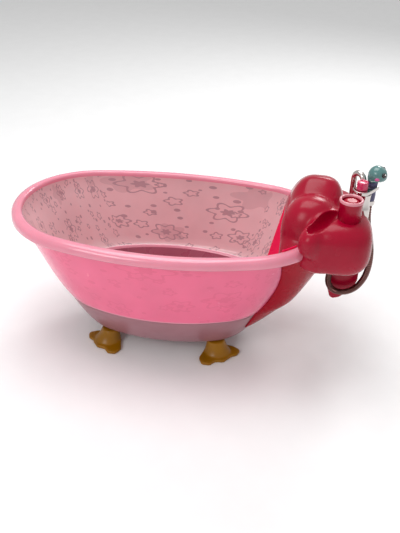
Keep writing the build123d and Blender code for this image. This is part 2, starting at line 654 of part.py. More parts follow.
# ---- battery box ----------------------------------------------------------------------------------------
BOX_NEAR, BOX_FAR = -8, 48
BOX_PROFILE = [(0, CONSOLE_Z), (-1, 102), (5, 84), (17, 88), (34, 104), (40, 120), (40, CONSOLE_Z)]
DOOR_LOW, DOOR_HIGH = 110, 168
DOOR_X, DOOR_WIDTH = 257, 30
CELL_X = 263
ACROSS_BOX = Plane((TUB_X + BOX_X, BOX_FAR, 0), x_dir=(1, 0, 0), z_dir=(0, -1, 0))

with BuildPart() as battery_box:
    with BuildSketch(ACROSS_BOX):
        with BuildLine():
            Polyline(*BOX_PROFILE, close=True)
        make_face()
    extrude(amount=BOX_FAR - BOX_NEAR)
    box_sides = battery_box.edges().filter_by(Axis.Y).sort_by(Axis.Z)[:-2]
    fillet(box_sides, 6)
    offset(amount=-SHELL, openings=battery_box.faces().sort_by(Axis.Z)[-1])
    with BuildSketch(Plane((TUB_X + DOOR_X, BOX_FAR + 1, 0), x_dir=(1, 0, 0), z_dir=(0, -1, 0))):
        with Locations((0, (DOOR_LOW + DOOR_HIGH) / 2)):
            Rectangle(DOOR_WIDTH, DOOR_HIGH - DOOR_LOW)
    extrude(amount=SHELL + 2, mode=Mode.SUBTRACT)
save(battery_box, "battery_box")

with BuildPart() as battery_cover:
    with BuildSketch(Plane((TUB_X + DOOR_X, BOX_FAR, 0), x_dir=(1, 0, 0), z_dir=(0, -1, 0))):
        with Locations((0, (DOOR_LOW + DOOR_HIGH) / 2)):
            Rectangle(DOOR_WIDTH - 0.8, DOOR_HIGH - DOOR_LOW - 0.8)
    extrude(amount=2)
save(battery_cover, "battery_cover")

CELL_R, CELL_LENGTH = 7, 49
CELL_YS = [3, 18, 33]
with BuildPart() as batteries:
    for cell_y in CELL_YS:
        add(rod(CELL_X, cell_y, 114, 114 + CELL_LENGTH, CELL_R))
        add(rod(CELL_X, cell_y, 114 + CELL_LENGTH, 115.5 + CELL_LENGTH, 2.8))
save(batteries, "batteries")

with BuildPart() as battery_contacts:
    for cell_y in CELL_YS:
        with BuildSketch(place(CELL_X, cell_y, 113.4)):
            Rectangle(10, 10)
        extrude(amount=0.6)
        with BuildSketch(place(CELL_X, cell_y, 115.5 + CELL_LENGTH)):
            Rectangle(10, 10)
        extrude(amount=0.6)
save(battery_contacts, "battery_contacts")
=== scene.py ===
"""Toy baby bathtub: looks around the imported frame.  Metres, +Z up, the console at +X."""
import json
from math import atan2, cos, hypot, pi, radians, sin

import bmesh
import bpy
from mathutils import Matrix, Vector


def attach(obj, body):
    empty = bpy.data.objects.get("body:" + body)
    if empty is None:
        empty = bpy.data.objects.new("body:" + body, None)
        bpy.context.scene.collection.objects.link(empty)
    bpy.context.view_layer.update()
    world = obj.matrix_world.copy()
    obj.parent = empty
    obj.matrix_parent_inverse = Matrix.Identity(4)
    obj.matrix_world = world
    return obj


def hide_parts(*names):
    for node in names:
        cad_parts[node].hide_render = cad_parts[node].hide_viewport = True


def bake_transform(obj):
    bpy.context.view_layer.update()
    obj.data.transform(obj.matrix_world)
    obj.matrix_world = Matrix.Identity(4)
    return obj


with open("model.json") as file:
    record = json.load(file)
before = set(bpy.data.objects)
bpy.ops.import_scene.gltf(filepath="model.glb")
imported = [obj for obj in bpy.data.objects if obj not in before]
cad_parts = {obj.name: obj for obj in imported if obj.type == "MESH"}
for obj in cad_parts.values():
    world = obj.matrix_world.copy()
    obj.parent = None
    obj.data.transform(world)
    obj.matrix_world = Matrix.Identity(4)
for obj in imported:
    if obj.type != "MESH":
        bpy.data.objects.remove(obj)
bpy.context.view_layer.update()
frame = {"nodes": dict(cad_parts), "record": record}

# ---- camera, lamps and floor ------------------------------------------------------------------
# A plain pale studio sweep: one large soft box overhead, one at the console's side for the
# long highlights of glossy plastic, and a soft fill from the front.
scene = bpy.context.scene
TUB_X = -0.0307
CAMERA_TURN, CAMERA_RISE, CAMERA_ROLL = radians(8.775), radians(31.859), radians(1.189)
CAMERA_AIM = Vector((TUB_X + 0.0458, 0, 0.1117))
CAMERA_DISTANCE = 1.05
LENS, SENSOR_WIDTH = 47.46, 36  # millimetres

back = Vector((sin(CAMERA_TURN) * cos(CAMERA_RISE), -cos(CAMERA_TURN) * cos(CAMERA_RISE), sin(CAMERA_RISE)))
level = Vector((cos(CAMERA_TURN), sin(CAMERA_TURN), 0))
upward = back.cross(level)
right = cos(CAMERA_ROLL) * level + sin(CAMERA_ROLL) * upward
top = cos(CAMERA_ROLL) * upward - sin(CAMERA_ROLL) * level
camera = bpy.data.objects.new("camera", bpy.data.cameras.new("camera"))
scene.collection.objects.link(camera)
turn = Matrix((right, top, back)).transposed().to_4x4()
camera.matrix_world = Matrix.Translation(CAMERA_AIM + back * CAMERA_DISTANCE) @ turn
camera.data.lens = LENS
camera.data.sensor_width = SENSOR_WIDTH
scene.camera = camera
scene.view_settings.view_transform = "Standard"


def add_lamp(name, place, size, power):
    """A square soft box that points at the bath."""
    lamp = bpy.data.lights.new(name, "AREA")
    lamp.size = size
    lamp.energy = power
    holder = bpy.data.objects.new(name, lamp)
    holder.location = place
    holder.rotation_euler = (Vector((0, 0, 0.15)) - Vector(place)).to_track_quat("-Z", "Y").to_euler()
    scene.collection.objects.link(holder)


add_lamp("soft_box_top", (-0.2, 0.1, 1.6), 1.1, 14)
add_lamp("soft_box_side", (0.5, 1.3, 1.1), 0.5, 7)
add_lamp("soft_box_front", (-0.9, -1.5, 1.2), 0.8, 9)
world = bpy.data.worlds.new("studio")
world.use_nodes = True
world.node_tree.nodes["Background"].inputs[0].default_value = (1, 1, 1, 1)
world.node_tree.nodes["Background"].inputs[1].default_value = 0.55
scene.world = world


def tone(*channels):
    """A colour given as red, green and blue on the usual 0 to 255 scale, as linear values."""
    values = [(v / 255 / 12.92) if v < 11 else ((v / 255 + 0.055) / 1.055) ** 2.4 for v in channels]
    return (*values, 1)


def wire(tree, source, target):
    """Joins a node's output to another node's input."""
    tree.links.new(source, target)


def add_noise(tree, coordinate, scale, detail=4):
    """A noise texture on the given coordinates."""
    noise = tree.nodes.new("ShaderNodeTexNoise")
    noise.inputs["Scale"].default_value = scale
    noise.inputs["Detail"].default_value = detail
    wire(tree, coordinate, noise.inputs["Vector"])
    return noise


def add_ramp(tree, factor, stops):
    """A colour ramp with (place, colour) stops."""
    ramp = tree.nodes.new("ShaderNodeValToRGB")
    while len(ramp.color_ramp.elements) < len(stops):
        ramp.color_ramp.elements.new(1)
    for element, (place, colour) in zip(ramp.color_ramp.elements, stops):
        element.position = place
        element.color = colour
    wire(tree, factor, ramp.inputs[0])
    return ramp


def shift(colour, amount):
    """The colour made lighter, above 1, or darker, below 1."""
    return (*[min(channel * amount, 1) for channel in colour[:3]], 1)


def moulded(name, colour, roughness=0.25, coat=0.4, grain=0.05, grain_scale=900, metallic=0, cloud=0.1,
            glow=0, shine=0.5):
    """Moulded plastic or metal: a slight cloudiness of colour, uneven gloss and a fine surface grain."""
    material = bpy.data.materials.new(name)
    material.use_nodes = True
    tree = material.node_tree
    shader = tree.nodes["Principled BSDF"]
    where = tree.nodes.new("ShaderNodeTexCoord").outputs["Object"]
    clouds = add_noise(tree, where, 22, 3)
    shades = [(0.3, shift(colour, 1 - cloud)), (0.7, shift(colour, 1 + cloud))]
    tint = add_ramp(tree, clouds.outputs[0], shades)
    wire(tree, tint.outputs[0], shader.inputs["Base Color"])
    wear = add_noise(tree, where, 60, 6)
    gloss = add_ramp(tree, wear.outputs[0], [(0.35, (roughness * 0.8,) * 3 + (1,)),
                                             (0.75, (roughness * 1.3,) * 3 + (1,))])
    wire(tree, gloss.outputs[0], shader.inputs["Roughness"])
    fine = add_noise(tree, where, grain_scale, 2)
    bump = tree.nodes.new("ShaderNodeBump")
    bump.inputs["Strength"].default_value = grain
    bump.inputs["Distance"].default_value = 0.0004
    wire(tree, fine.outputs[0], bump.inputs["Height"])
    wire(tree, bump.outputs[0], shader.inputs["Normal"])
    shader.inputs["Metallic"].default_value = metallic
    shader.inputs["Specular IOR Level"].default_value = shine
    shader.inputs["Coat Weight"].default_value = coat
    shader.inputs["Coat Roughness"].default_value = 0.08
    if glow:
        shader.inputs["Subsurface Weight"].default_value = glow
        shader.inputs["Subsurface Radius"].default_value = (0.012, 0.004, 0.004)
        shader.inputs["Subsurface Scale"].default_value = 1
    return material


floor_mesh = bpy.data.meshes.new("studio_floor")
sheet = bmesh.new()
bmesh.ops.create_grid(sheet, x_segments=2, y_segments=2, size=6)
sheet.to_mesh(floor_mesh)
sheet.free()
studio_floor = bpy.data.objects.new("studio_floor", floor_mesh)
scene.collection.objects.link(studio_floor)
floor_mesh.materials.append(moulded("studio_paper", (0.93, 0.93, 0.93, 1), 0.7, 0, 0.02, 300, cloud=0.01))

# ---- basin ------------------------------------------------------------------------------------
# The basin is one moulding in translucent pink plastic, with a printed film of blossoms, rings
# and dots in its wall.  Its rim is rolled over, and a ledge above the bowl seats on the cradle.
RING_COUNT = 144
END_ROUNDING = 0.888
RIM_RISE = 0.005                # the rim climbs this much towards both ends
WALL = 0.0024
CRADLE_Z, RIDGE_Z, LIP_Z, RIM_Z = 0.024, 0.081, 0.188, 0.201
FILM_LENGTH = 1.25              # the printed film's length round the bath, in metres of its pattern


def oval_point(half_length, half_width, facing):
    """The point of a four-arc oval whose outward normal looks that way."""
    end_r = END_ROUNDING * half_width
    reach = half_length - end_r
    side_r = (reach ** 2 + half_width ** 2 - end_r ** 2) / (2 * (half_width - end_r))
    change = atan2(side_r - half_width, reach)
    lean = abs(atan2(sin(facing), cos(facing)))
    if lean < change or lean > pi - change:
        centre = (reach if lean < change else -reach, 0)
        radius = end_r
    else:
        centre = (0, half_width - side_r if sin(facing) > 0 else side_r - half_width)
        radius = side_r
    return centre[0] + radius * cos(facing), centre[1] + radius * sin(facing)


def wall_size(z):
    """Half the length and half the width of the basin's wall at this height."""
    rise = max(z - RIDGE_Z, 0) / (LIP_Z - RIDGE_Z)
    return 0.159 + 0.0574 * rise ** 0.8, 0.108 + 0.0169 * rise ** 0.9


def bowl_size(z):
    """Half the length and half the width of the bowl and its cradle at this height."""
    rise = (z - CRADLE_Z) / (RIDGE_Z - CRADLE_Z)
    return 0.122 + 0.037 * rise ** 0.75, 0.076 + 0.032 * rise ** 0.8


def new_piece(name, bm, *materials):
    """An object made from a bmesh, smooth, with its faces outward."""
    bmesh.ops.recalc_face_normals(bm, faces=bm.faces)
    mesh = bpy.data.meshes.new(name)
    bm.to_mesh(mesh)
    bm.free()
    for material in materials:
        mesh.materials.append(material)
    mesh.polygons.foreach_set("use_smooth", [True] * len(mesh.polygons))
    piece = bpy.data.objects.new(name, mesh)
    scene.collection.objects.link(piece)
    return piece


def oval_shell(name, stations, materials):
    """A closed shell drawn ring by ring: each station is (half-length, half-width, z, material)."""
    bm = bmesh.new()
    uv = bm.loops.layers.uv.new("film")
    ring = bmesh.ops.create_circle(bm, segments=RING_COUNT, radius=stations[0][0], cap_ends=True)["verts"]
    ring.sort(key=lambda v: atan2(v.co.y, v.co.x) % (2 * pi))
    run = 0
    for number, (half_length, half_width, z, finish) in enumerate(stations):
        if number:
            inside = set(ring)
            loop = [e for e in bm.edges if e.verts[0] in inside and e.verts[1] in inside]
            made = bmesh.ops.extrude_edge_only(bm, edges=loop)["geom"]
            new = {v for v in made if isinstance(v, bmesh.types.BMVert)}
            ring = [next(e.other_vert(v) for e in v.link_edges if e.other_vert(v) in new) for v in ring]
        for step, vert in enumerate(ring):
            x, y = oval_point(half_length, half_width, 2 * pi * (step + 0.5) / RING_COUNT)
            rise = RIM_RISE * (x / half_length) ** 2 * min(max((z - RIDGE_Z) / (RIM_Z - RIDGE_Z), 0), 1)
            vert.co = (TUB_X + x, y, z + rise)
        if number:
            before = stations[number - 1]
            length = hypot(half_width - before[1], z - before[2])
            order = {v: step for step, v in enumerate(ring)}
            for face in {f for f in made if isinstance(f, bmesh.types.BMFace)}:
                face.material_index = finish
                steps = [order[v] for v in face.verts if v in order]
                wraps = max(steps) - min(steps) > 1
                for loop_corner in face.loops:
                    vert = loop_corner.vert
                    outer = vert in order
                    near = vert if outer else next(e.other_vert(vert) for e in vert.link_edges
                                                   if e.other_vert(vert) in order)
                    step = order[near] + (RING_COUNT if wraps and order[near] == 0 else 0)
                    loop_corner[uv].uv = (FILM_LENGTH * step / RING_COUNT, run + (length if outer else 0))
            run += length
    bmesh.ops.contextual_create(bm, geom=[e for e in bm.edges if e.is_boundary])
    return new_piece(name, bm, *materials)


def printed(name, paper, ink, strength, roughness=0.22):
    """Plastic with a printed film in it: blossoms, rings and dots."""
    material = moulded(name, paper, roughness, 0.5, 0.03, 500, cloud=0.05, glow=0.15)
    tree = material.node_tree
    shader = tree.nodes["Principled BSDF"]
    film = tree.nodes.new("ShaderNodeUVMap")
    film.uv_map = "film"

    def maths(kind, first, second=0.0, third=None):
        """A sum of up to three values, each a number or a node's output."""
        node = tree.nodes.new("ShaderNodeMath")
        node.operation = kind
        for socket, value in zip(node.inputs, (first, second, third)):
            if value is None:
                continue
            if isinstance(value, (int, float)):
                socket.default_value = value
            else:
                wire(tree, value, socket)
        return node.outputs[0]

    def marks(density, petals, size, line):
        """Blossoms scattered one to a cell, as lines, or filled where line is 0; petals 0 is round."""
        cells = tree.nodes.new("ShaderNodeTexVoronoi")
        cells.voronoi_dimensions = "2D"
        cells.inputs["Scale"].default_value = density
        cells.inputs["Randomness"].default_value = 0.85
        wire(tree, film.outputs[0], cells.inputs["Vector"])
        local = tree.nodes.new("ShaderNodeVectorMath")
        local.operation = "SUBTRACT"
        wire(tree, film.outputs[0], local.inputs[0])
        wire(tree, cells.outputs["Position"], local.inputs[1])
        parts = tree.nodes.new("ShaderNodeSeparateXYZ")
        wire(tree, local.outputs[0], parts.inputs[0])
        away = maths("SQRT", maths("ADD", maths("MULTIPLY", parts.outputs[0], parts.outputs[0]),
                                   maths("MULTIPLY", parts.outputs[1], parts.outputs[1])))
        angle = maths("ARCTAN2", parts.outputs[1], parts.outputs[0])
        shade = tree.nodes.new("ShaderNodeSeparateColor")
        wire(tree, cells.outputs["Color"], shade.inputs[0])
        lobes = maths("MULTIPLY", maths("COSINE", maths("MULTIPLY", angle, petals)), 0.22)
        spread = maths("MULTIPLY_ADD", shade.outputs[0], size * 0.7, size * 0.6)
        edge = maths("MULTIPLY", maths("ADD", lobes, 1.0), spread)
        if line:
            return maths("LESS_THAN", maths("ABSOLUTE", maths("SUBTRACT", away, edge)), line)
        return maths("LESS_THAN", away, edge)

    blossoms = marks(17, 6, 0.011, 0.0011)
    hearts = marks(17, 6, 0.0042, 0)
    rings = marks(31, 5, 0.0045, 0.0009)
    dots = marks(47, 0, 0.0018, 0)
    petals = marks(11, 5, 0.013, 0)
    drawn = maths("MAXIMUM", maths("MAXIMUM", blossoms, rings), maths("MAXIMUM", hearts, dots))
    cover = maths("MAXIMUM", maths("MULTIPLY", drawn, strength), maths("MULTIPLY", petals, strength * 0.35))
    colour_in = shader.inputs["Base Color"].links[0].from_socket
    mix = tree.nodes.new("ShaderNodeMix")
    mix.data_type = "RGBA"
    wire(tree, cover, mix.inputs[0])
    wire(tree, colour_in, mix.inputs[6])
    mix.inputs[7].default_value = ink
    wire(tree, mix.outputs[2], shader.inputs["Base Color"])
    return material


outside_film = printed("pink_film_outside", tone(236, 104, 142), tone(214, 84, 122), 0.35)
# The inner wall's paler, greyer pink is partly the translucent plastic and partly painted shade.
shaded_inside_film = printed("pink_film_inside_painted_shade", tone(226, 184, 188), tone(138, 108, 120), 0.6, 0.35)
# The rim's paler pink also paints highlight lines along the ledge's edge and the ridge bead.
rim_and_edge_highlight_pink = moulded("rolled_rim_and_edge_highlight_pink", tone(228, 140, 160), 0.2, 0.6, 0.02, 500, cloud=0.04, glow=0.2)
bowl_pink = moulded("bowl_pink", tone(160, 72, 96), 0.3, 0.4, 0.03, 500, cloud=0.06, glow=0.1)
OUTSIDE, INSIDE, RIM, BOWL = range(4)


def tub_stations():
    """The basin's wall from the middle of the floor, up the inside, over the rim and down outside."""
    inset, floor_top, floor_foot = 0.0064, 0.037, 0.034
    rows = [(0.03, 0.02, floor_top, BOWL), (0.085, 0.045, floor_top, BOWL)]
    for z in (0.0375, 0.040, 0.046, 0.056, 0.068, 0.0795):
        half_length, half_width = bowl_size(z)
        rows.append((half_length - inset, half_width - inset, z, BOWL))
    ledge_a, ledge_b = bowl_size(RIDGE_Z)
    # The ledge's edge takes the rim pink as a painted highlight line.
    rows += [(ledge_a - inset + 0.0006, ledge_b - inset + 0.0006, 0.0826, RIM),
             (ledge_a - 0.0040, ledge_b - 0.0040, 0.0834, RIM),
             (ledge_a - 0.0026, ledge_b - 0.0026, 0.0842, INSIDE)]
    for z in (0.088, 0.098, 0.112, 0.130, 0.150, 0.170, 0.186, 0.194):
        half_length, half_width = wall_size(min(z, LIP_Z))
        rows.append((half_length - WALL, half_width - WALL, z, INSIDE))
    rows += [(0.2142, 0.1227, 0.1975, RIM), (0.2152, 0.1237, 0.2000, RIM), (0.2172, 0.1257, 0.2010, RIM),
             (0.2215, 0.1300, 0.2008, RIM), (0.2262, 0.1347, 0.1992, RIM), (0.2290, 0.1375, 0.1960, RIM),
             (0.2298, 0.1383, 0.1915, RIM), (0.2300, 0.1385, 0.1886, RIM), (0.2294, 0.1379, 0.1878, RIM),
             (0.2278, 0.1363, 0.1884, RIM), (0.2274, 0.1359, 0.1930, RIM), (0.2240, 0.1325, 0.1972, RIM),
             (0.2195, 0.1280, 0.1972, RIM), (0.2168, 0.1253, 0.1940, OUTSIDE)]
    for z in (0.188, 0.176, 0.160, 0.142, 0.124, 0.108, 0.095, 0.086, 0.0828):
        rows.append((*wall_size(z), z, OUTSIDE))
    # The ridge bead takes the rim pink as a painted highlight line.
    rows += [(0.1597, 0.1087, 0.0822, RIM), (0.1597, 0.1087, 0.0812, RIM), (0.1585, 0.1075, 0.0809, RIM),
             (ledge_a - 0.004, ledge_b - 0.004, 0.0809, BOWL)]
    for z in (0.072, 0.060, 0.048, 0.040, 0.0352):
        half_length, half_width = bowl_size(z)
        rows.append((half_length - 0.004, half_width - 0.004, z, BOWL))
    rows += [(0.112, 0.066, floor_foot, BOWL), (0.05, 0.03, floor_foot, BOWL)]
    return rows


basin = oval_shell("basin", tub_stations(), [outside_film, shaded_inside_film, rim_and_edge_highlight_pink, bowl_pink])
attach(basin, "bath")
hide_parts("tub_shell")

# ---- cradle -----------------------------------------------------------------------------------
# The cradle is an opaque mauve moulding with the bowl's outline.  It carries the bowl, which sits
# in it up to the ledge, and takes the four feet's screws.
mauve = moulded("mauve_plastic", tone(158, 106, 116), 0.35, 0.25, 0.06, 700, cloud=0.06)


def cradle_stations():
    """The cradle's wall from the middle of its inner floor, over the top edge and down outside."""
    floor_top = CRADLE_Z + WALL
    rows = [(0.05, 0.03, floor_top, 0), (0.112, 0.066, floor_top, 0)]
    for z in (0.030, 0.040, 0.054, 0.068, 0.0805):
        half_length, half_width = bowl_size(z)
        rows.append((half_length - WALL, half_width - WALL, z, 0))
    for z in (0.0806, 0.074, 0.066, 0.056, 0.046, 0.038, 0.031, 0.0275):
        half_length, half_width = bowl_size(z)
        rows.append((half_length - 0.0002, half_width - 0.0002, z, 0))
    rows += [(0.1225, 0.0762, 0.0252, 0), (0.1205, 0.0742, 0.0242, 0), (0.1175, 0.071, CRADLE_Z, 0),
             (0.05, 0.03, CRADLE_Z, 0)]
    return rows


cradle = oval_shell("cradle", cradle_stations(), [mauve])
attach(cradle, "bath")
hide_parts("base_cradle")


# ---- webbed feet --------------------------------------------------------------------------------
# Four solid yellow mouldings with three toes and a web between them, screwed up into the cradle.
# Their edges are rounded over, as a moulding's are.


def bake_modifiers(piece):
    """Puts the modifiers' result in the mesh, with the materials that it had."""
    materials = list(piece.data.materials)
    finished = bpy.data.meshes.new_from_object(piece.evaluated_get(bpy.context.evaluated_depsgraph_get()))
    piece.modifiers.clear()
    piece.data = finished
    finished.materials.clear()
    for material in materials:
        finished.materials.append(material)
    finished.polygons.foreach_set("use_smooth", [True] * len(finished.polygons))
    return piece


def fused(piece, grain, rounds):
    """The piece's masses fused into one even skin, relaxed so that they flow together."""
    remesh = piece.modifiers.new("even", "REMESH")
    remesh.mode = "VOXEL"
    remesh.voxel_size = grain
    relax = piece.modifiers.new("relax", "SMOOTH")
    relax.factor = 0.5
    relax.iterations = rounds
    return bake_modifiers(piece)


def softened(node, name, material, body, grain=0.0012, rounds=8):
    """A copy of a CAD piece with its edges rounded over, as a moulding's are, in a fine even mesh."""
    mesh = frame["nodes"][node].data.copy()
    merged = bmesh.new()
    merged.from_mesh(mesh)
    bmesh.ops.remove_doubles(merged, verts=merged.verts, dist=0.00001)
    merged.to_mesh(mesh)
    merged.free()
    mesh.materials.clear()
    mesh.materials.append(material)
    piece = bpy.data.objects.new(name, mesh)
    scene.collection.objects.link(piece)
    fused(piece, grain, rounds)
    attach(piece, body)
    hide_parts(node)
    return piece


foot_yellow = moulded("foot_yellow", tone(150, 100, 0), 0.35, 0.05, 0.05, 600, cloud=0.14, shine=0.3)
for node in ("foot_front_left", "foot_front_right", "foot_rear_left", "foot_rear_right"):
    foot = softened(node, node + "_web", foot_yellow, "bath", 0.0011, 10)

# ---- console ------------------------------------------------------------------------------------
# The console is a hot pink moulding that straddles the rim: a raised hood, a pebble-shaped lobe
# with a soap dish, and a lower lobe at the far side.  Each is a rounded mass, and the masses are
# fused into one skin.
# One hot pink plastic in two copies: hot_pink is darkened with painted shade, and the brighter copy is
# painted light, on the soap dish and the inner panel.
hot_pink = moulded("hot_pink_plastic", tone(160, 1, 40), 0.24, 0.0, 0.03, 700, cloud=0.08, shine=0.3)
hot_pink_painted_light = moulded("hot_pink_painted_light", tone(236, 14, 78), 0.26, 0.05, 0.03, 700, cloud=0.06, shine=0.3)
# The end panel's hot pink, darker still: painted shade.
shaded_end_pink = moulded("end_panel_pink_painted_shade", tone(158, 0, 30), 0.26, 0.0, 0.03, 700, cloud=0.08, shine=0.15)
CONSOLE_FOOT = 0.176
NEAR_SPAN, FAR_SPAN = 0.078, 0.104
BASE_SHARE = 0.78               # the base plate narrows towards the near lobe, to lie inside it


def add_mass(bm, centre, radii, fullness=2.0, turn_degrees=0):
    """A closed rounded mass: 2 is an ellipsoid, and more is fuller at the corners."""
    ball = bmesh.ops.create_uvsphere(bm, u_segments=64, v_segments=40, radius=1)["verts"]
    turned = Matrix.Rotation(radians(turn_degrees), 3, "Z")
    for vert in ball:
        size = sum(abs(c) ** fullness for c in vert.co) ** (1 / fullness)
        local = Vector([c / size * r for c, r in zip(vert.co, radii)])
        vert.co = turned @ local + Vector(centre) + Vector((TUB_X, 0, 0))


def hood_height(y):
    """The hood's top along its width: a low arch, steeper at the near side."""
    span = NEAR_SPAN if y < 0 else FAR_SPAN
    return CONSOLE_FOOT + 0.022 + 0.074 * (1 - abs(y / span) ** (1.3 if y < 0 else 1.65))


def add_hood(bm):
    """The hood: an upright section swept across the bath's end."""
    ball = bmesh.ops.create_uvsphere(bm, u_segments=72, v_segments=64, radius=1)["verts"]
    for vert in ball:
        across, around = vert.co.z, atan2(vert.co.y, vert.co.x)
        ring = hypot(vert.co.x, vert.co.y)
        y = across * (NEAR_SPAN if across < 0 else FAR_SPAN)
        swell = min(ring * 3, 1)
        side, rise = cos(around), sin(around)
        bulge = 2 / (3.4 if side > 0 else 2.4)
        x = 0.2035 + 0.0420 * swell * (abs(side) ** bulge) * (1 if side > 0 else -1)
        height = (hood_height(y) - CONSOLE_FOOT) if rise > 0 else 0.004
        z = CONSOLE_FOOT + height * swell * (abs(rise) ** bulge) * (1 if rise > 0 else -1)
        vert.co = (TUB_X + x, y, z)


def cut_away(piece, cutter):
    """Takes the cutter's shape out of the piece."""
    cut = piece.modifiers.new("cut", "BOOLEAN")
    cut.operation = "DIFFERENCE"
    cut.solver = "EXACT"
    cut.object = cutter
    bake_modifiers(piece)
    bpy.data.objects.remove(cutter)


bm = bmesh.new()
add_hood(bm)
add_mass(bm, (0.201, -0.035, 0.206), (0.040, 0.034, 0.053), 2.3)
add_mass(bm, (0.238, -0.062, 0.211), (0.043, 0.042, 0.039), 3.0)
add_mass(bm, (0.215, -0.060, 0.188), (0.031, 0.036, 0.019), 2.4)
add_mass(bm, (0.212, -0.078, 0.220), (0.033, 0.018, 0.024), 2.4, 51)
add_mass(bm, (0.220, 0.056, 0.195), (0.046, 0.047, 0.024), 3.2)
add_mass(bm, (0.236, -0.008, 0.212), (0.027, 0.044, 0.026), 2.4)
console = fused(new_piece("console_moulding", bm, hot_pink, hot_pink_painted_light), 0.0015, 26)
DISH_CENTRE, DISH_RADII, DISH_TURN = (0.2155, -0.0745, 0.246), (0.0315, 0.0125, 0.0185), 51
DISH_EDGE = 0.0012              # faces this close outside the scoop take its colour too
bm = bmesh.new()
add_mass(bm, DISH_CENTRE, DISH_RADII, 2.0, DISH_TURN)
cut_away(console, new_piece("dish_cutter", bm))
fused(console, 0.0011, 3)
# The scoop's faces take the brighter hot pink: painted light.
dish_middle = Vector(DISH_CENTRE) + Vector((TUB_X, 0, 0))
turned_back = Matrix.Rotation(radians(-DISH_TURN), 3, "Z")
for face in console.data.polygons:
    local = turned_back @ (face.center - dish_middle)
    inside = sum((c / (r + DISH_EDGE)) ** 2 for c, r in zip(local, DISH_RADII)) < 1
    face.material_index = 1 if inside else 0
COLLAR_X, COLLAR_Y = 0.247, -0.068
WELL_R, WELL_DEPTH, WELL_MIDDLE = 0.0135, 0.08, 0.257
bm = bmesh.new()
bmesh.ops.create_cone(bm, cap_ends=True, segments=48, radius1=WELL_R, radius2=WELL_R, depth=WELL_DEPTH,
                      matrix=Matrix.Translation((TUB_X + COLLAR_X, COLLAR_Y, WELL_MIDDLE)))
cut_away(console, new_piece("well_cutter", bm))
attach(console, "bath")
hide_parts("console_cover")

OUTLET_X, OUTLET_Y = 0.240, -0.020
console_base = softened("console_base", "console_base_moulding", hot_pink, "bath", 0.0011, 4)
screws = softened("console_screws", "console_screw_set", hot_pink, "bath", 0.0006, 2)
for piece in (console_base, screws):
    for vert in piece.data.vertices:
        middle = Vector((TUB_X + OUTLET_X, OUTLET_Y, vert.co.z))
        taper = min(max(-vert.co.y / 0.08, 0), 1)
        vert.co = middle + (vert.co - middle) * (1 - taper * (1 - BASE_SHARE))

rear_box = softened("battery_box", "rear_box_moulding", hot_pink, "bath", 0.0011, 8)
# The inner panel takes the brighter hot pink: painted light.
inner_panel = softened("inner_panel", "inner_panel_moulding", hot_pink_painted_light, "bath", 0.0013, 4)


# ---- outer end panel ----------------------------------------------------------------------------
# A thin hot pink plastic moulding, darkened with painted shade, wraps the bath's end from the console
# down to the bowl.  It lies flush at its side edges and bulges at the middle.
def panel_edge(z):
    """Half the angle that the panel wraps at this height."""
    return radians(41 + 15 * max((z - 0.105) / 0.081, 0) ** 2)


def panel_point(share, z, proud):
    """A point of the panel: share runs from -1 at the near edge to 1 at the far edge."""
    facing = share * panel_edge(z)
    half_length, half_width = wall_size(z) if z > RIDGE_Z else bowl_size(z)
    bulge = 0.023 * (1 - abs(share) ** 2.6) * min(max((z - 0.046) / 0.045, 0), 1) ** 0.7
    x, y = oval_point(half_length, half_width, facing)
    out = bulge + proud
    return TUB_X + x + out * cos(facing), y + out * sin(facing), z


bm = bmesh.new()
PANEL_FOOT, PANEL_TOP = 0.050, 0.192
for proud in (0.0016, -0.0012):
    skin = bmesh.ops.create_grid(bm, x_segments=72, y_segments=48, size=1)["verts"]
    for vert in skin:
        rise = (vert.co.y + 1) / 2
        vert.co = panel_point(vert.co.x, PANEL_FOOT + rise * (PANEL_TOP - PANEL_FOOT), proud)
rims = [e for e in bm.edges if e.is_boundary]
bmesh.ops.bridge_loops(bm, edges=rims)
end_panel = new_piece("end_panel_skin", bm, shaded_end_pink)
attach(end_panel, "bath")
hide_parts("end_panel")


# ---- button collar ---------------------------------------------------------------------------------
# A round plastic collar stands up from the near lobe, round the dome button.  It has a thick
# lip, pale pink on top as a painted highlight, and is turned here from one closed outline.
def turned_piece(name, outline, x, y, materials, highlight_above):
    """A closed ring or knob, turned about an upright axis from its outline of (radius, height)."""
    bm = bmesh.new()
    verts = [bm.verts.new((radius, 0, height)) for radius, height in outline]
    edges = [bm.edges.new((verts[step], verts[(step + 1) % len(verts)])) for step in range(len(verts))]
    bmesh.ops.spin(bm, geom=verts + edges, cent=(0, 0, 0), axis=(0, 0, 1), angle=2 * pi, steps=64,
                   use_merge=True)
    bmesh.ops.remove_doubles(bm, verts=bm.verts, dist=0.000001)
    # Faces above that height take the pale pink of the lip's painted highlight.
    for face in bm.faces:
        face.material_index = 1 if face.calc_center_median().z > highlight_above else 0
    bmesh.ops.translate(bm, vec=(TUB_X + x, y, 0), verts=bm.verts)
    return new_piece(name, bm, *materials)


lip_top_highlight = moulded("collar_lip_painted_highlight", tone(214, 134, 146), 0.25, 0.4, 0.03, 700, cloud=0.04)
collar = turned_piece("collar_ring", [(0.0119, 0.232), (0.0146, 0.232), (0.0148, 0.2715), (0.0153, 0.2735),
                                      (0.0152, 0.2758), (0.0144, 0.2769), (0.0131, 0.2770),
                                      (0.0122, 0.2760), (0.0119, 0.2740)],
                      COLLAR_X, COLLAR_Y, [hot_pink, lip_top_highlight], 0.2728)
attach(collar, "bath")
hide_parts("button_collar")

